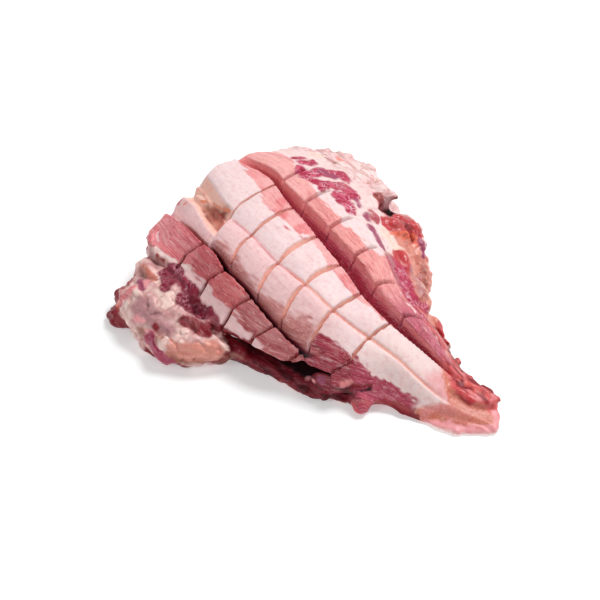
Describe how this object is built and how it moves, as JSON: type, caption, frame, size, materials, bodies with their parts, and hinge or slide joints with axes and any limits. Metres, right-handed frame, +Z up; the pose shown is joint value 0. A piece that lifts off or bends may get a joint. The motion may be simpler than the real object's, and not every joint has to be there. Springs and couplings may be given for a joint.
{
  "type": "pork jowl",
  "caption": "Raw pork jowl: a thick triangular slab of cheek fat and lean, scored across in a deep lattice, with ragged fatty sides and a thin tip.",
  "frame": {"origin": "under the middle of the whole slab, on the surface it rests on", "axes": "+X along the slab from its broad end to its narrow tip, +Y towards the side with the long deep cut, +Z up through the scored outer face"},
  "size_m": [0.3144, 0.2502, 0.0779],
  "materials": {
    "jowl": "raw meat and fat, moist"
  },
  "bodies": {
    "root": {"jowl": "jowl"}
  },
  "joints": []
}
